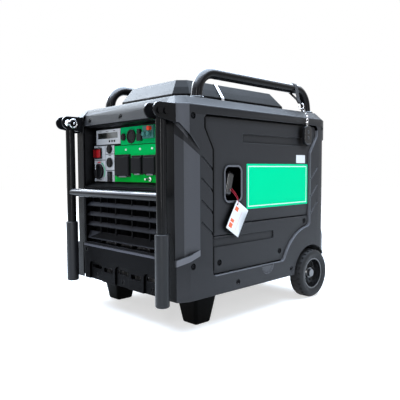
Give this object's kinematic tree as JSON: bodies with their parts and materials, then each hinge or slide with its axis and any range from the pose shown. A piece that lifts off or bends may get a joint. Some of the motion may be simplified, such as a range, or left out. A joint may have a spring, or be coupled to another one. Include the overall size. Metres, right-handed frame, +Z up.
{
  "type": "portable generator",
  "caption": "Enclosed portable inverter generator with side doors, a sunk control panel, folding pull handle, carry hoops, rear wheels and front feet.",
  "frame": {"origin": "on the floor, under the middle of the machine's box", "axes": "+X to the starter side, +Y to the rear wheels, +Z up; the control panel faces -Y"},
  "size_m": [0.526, 0.727, 0.6899],
  "materials": {
    "case": "textured charcoal",
    "dark_case": "textured black",
    "tube": "semi-gloss black",
    "grip": "matte dark grey",
    "tyre": "matte black",
    "rim": "gloss black",
    "steel": "zinc plated",
    "chrome": "bright",
    "stud": "bright plated",
    "silver": "satin",
    "green": "satin green",
    "lens": "clear over grey",
    "black_plastic": "satin black",
    "red_plastic": "gloss red",
    "cast": "cast",
    "sheet": "satin black",
    "iron": "machined",
    "webbing": "woven",
    "red_cord": "woven",
    "card": "printed card"
  },
  "bodies": {
    "chassis": {"right_side_shell": "case", "left_side_shell": "case", "right_door": "case", "right_service_cover": "case", "left_door": "case", "top_deck": "case", "tank_hood": "case", "rear_cover": "case", "front_skirt": "case", "front_grille": "dark_case", "control_panel": "dark_case", "right_handle_bracket": "tube", "left_handle_bracket": "tube", "right_carry_hoop": "tube", "left_carry_hoop": "tube", "front_feet": "grip", "engine_mounts": "grip", "wheel_axle": "steel", "handle_bolts": "steel", "muffler": "steel", "earth_terminal": "stud", "switch_plate": "silver", "outlet_plate": "green", "panel_lenses": "lens", "switch_bezels": "black_plastic", "outlet_sockets": "black_plastic", "fuel_tank": "black_plastic", "air_cleaner": "black_plastic", "battery": "black_plastic", "engine_crankcase": "cast", "engine_cylinder": "cast", "inverter_module": "cast", "base_tray": "sheet", "recoil_housing": "sheet", "alternator_stator": "iron", "recoil_rope": "webbing"},
    "pull_handle": {"handle_frame": "tube", "handle_grips": "grip"},
    "right_wheel": {"right_tyre": "tyre", "right_rim": "rim"},
    "left_wheel": {"left_tyre": "tyre", "left_rim": "rim"},
    "filler_cap": {"fuel_cap": "black_plastic"},
    "dial": {"engine_dial": "black_plastic"},
    "main_rocker": {"power_rocker": "red_plastic"},
    "side_rocker": {"lower_rocker": "black_plastic"},
    "starter_key": {"start_button": "black_plastic"},
    "economy_key": {"eco_button": "black_plastic"},
    "breaker_key": {"breaker_button": "black_plastic"},
    "cover_large": {"outlet_cover_large": "black_plastic"},
    "cover_middle": {"outlet_cover_middle": "black_plastic"},
    "cover_small": {"outlet_cover_small": "black_plastic"},
    "starter_grip": {"recoil_handle": "black_plastic"},
    "starter_pulley": {"recoil_pulley": "black_plastic"},
    "crankshaft": {"crank_rotor": "iron"},
    "remote": {"remote_strap": "webbing", "remote_chain": "chrome", "remote_fob": "black_plastic"},
    "paper_tag": {"hang_tag": "card", "tag_string": "red_cord"}
  },
  "joints": [
    {"name": "handle_swing", "type": "hinge", "parent": "chassis", "child": "pull_handle", "pos_m": [0, -0.3265, 0.555], "axis": [-1, 0, 0], "range_deg": [0, 95]},
    {"name": "right_wheel_spin", "type": "hinge", "parent": "chassis", "child": "right_wheel", "pos_m": [0.24, 0.2735, 0.077], "axis": [1, 0, 0], "continuous": true},
    {"name": "left_wheel_spin", "type": "hinge", "parent": "chassis", "child": "left_wheel", "pos_m": [-0.24, 0.2735, 0.077], "axis": [1, 0, 0], "continuous": true},
    {"name": "cap_turn", "type": "hinge", "parent": "chassis", "child": "filler_cap", "pos_m": [0, 0.0335, 0.655], "axis": [0, 0, 1], "range_deg": [0, 90]},
    {"name": "dial_turn", "type": "hinge", "parent": "chassis", "child": "dial", "pos_m": [-0.148, -0.2677, 0.411], "axis": [0, -1, 0], "range_deg": [-60, 60]},
    {"name": "main_rocker_tip", "type": "hinge", "parent": "chassis", "child": "main_rocker", "pos_m": [-0.156, -0.2697, 0.465], "axis": [0, 0, 1], "range_deg": [-10, 10]},
    {"name": "side_rocker_tip", "type": "hinge", "parent": "chassis", "child": "side_rocker", "pos_m": [-0.092, -0.2697, 0.396], "axis": [1, 0, 0], "range_deg": [-10, 10]},
    {"name": "starter_key_press", "type": "slide", "parent": "chassis", "child": "starter_key", "axis": [0, 1, 0], "range_m": [0, 0.003], "stiffness_N_per_m": 300},
    {"name": "economy_key_press", "type": "slide", "parent": "chassis", "child": "economy_key", "axis": [0, 1, 0], "range_m": [0, 0.003], "stiffness_N_per_m": 300},
    {"name": "breaker_key_press", "type": "slide", "parent": "chassis", "child": "breaker_key", "axis": [0, 1, 0], "range_m": [0, 0.003], "stiffness_N_per_m": 300},
    {"name": "cover_large_flip", "type": "hinge", "parent": "chassis", "child": "cover_large", "pos_m": [-0.022, -0.273, 0.456], "axis": [-1, 0, 0], "range_deg": [0, 100], "stiffness_Nm_per_rad": 0.01},
    {"name": "cover_middle_flip", "type": "hinge", "parent": "chassis", "child": "cover_middle", "pos_m": [0.046, -0.273, 0.452], "axis": [-1, 0, 0], "range_deg": [0, 100], "stiffness_Nm_per_rad": 0.01},
    {"name": "cover_small_flip", "type": "hinge", "parent": "chassis", "child": "cover_small", "pos_m": [0.102, -0.273, 0.452], "axis": [-1, 0, 0], "range_deg": [0, 100], "stiffness_Nm_per_rad": 0.01},
    {"name": "starter_pull", "type": "slide", "parent": "chassis", "child": "starter_grip", "axis": [1, 0, 0], "range_m": [0, 0.5], "stiffness_N_per_m": 15, "springref_m": -0.2, "deforming": ["recoil_rope"]},
    {"name": "starter_pulley_turn", "type": "hinge", "parent": "chassis", "child": "starter_pulley", "pos_m": [0, -0.0995, 0.326], "axis": [0, 1, 0], "range_deg": [0, 580]},
    {"name": "crank_turn", "type": "hinge", "parent": "chassis", "child": "crankshaft", "pos_m": [0, 0.0025, 0.326], "axis": [0, 1, 0], "continuous": true},
    {"name": "remote_swing", "type": "hinge", "parent": "chassis", "child": "remote", "pos_m": [0.2, 0.2335, 0.673], "axis": [0, -1, 0], "range_deg": [0, 40]},
    {"name": "tag_swing", "type": "hinge", "parent": "starter_grip", "child": "paper_tag", "pos_m": [0.2367, -0.0995, 0.362], "axis": [0, -1, 0], "range_deg": [0, 60]}
  ],
  "couplings": [
    {"joint": "starter_pulley_turn", "follows": "starter_pull", "rad_per_m": 20}
  ]
}
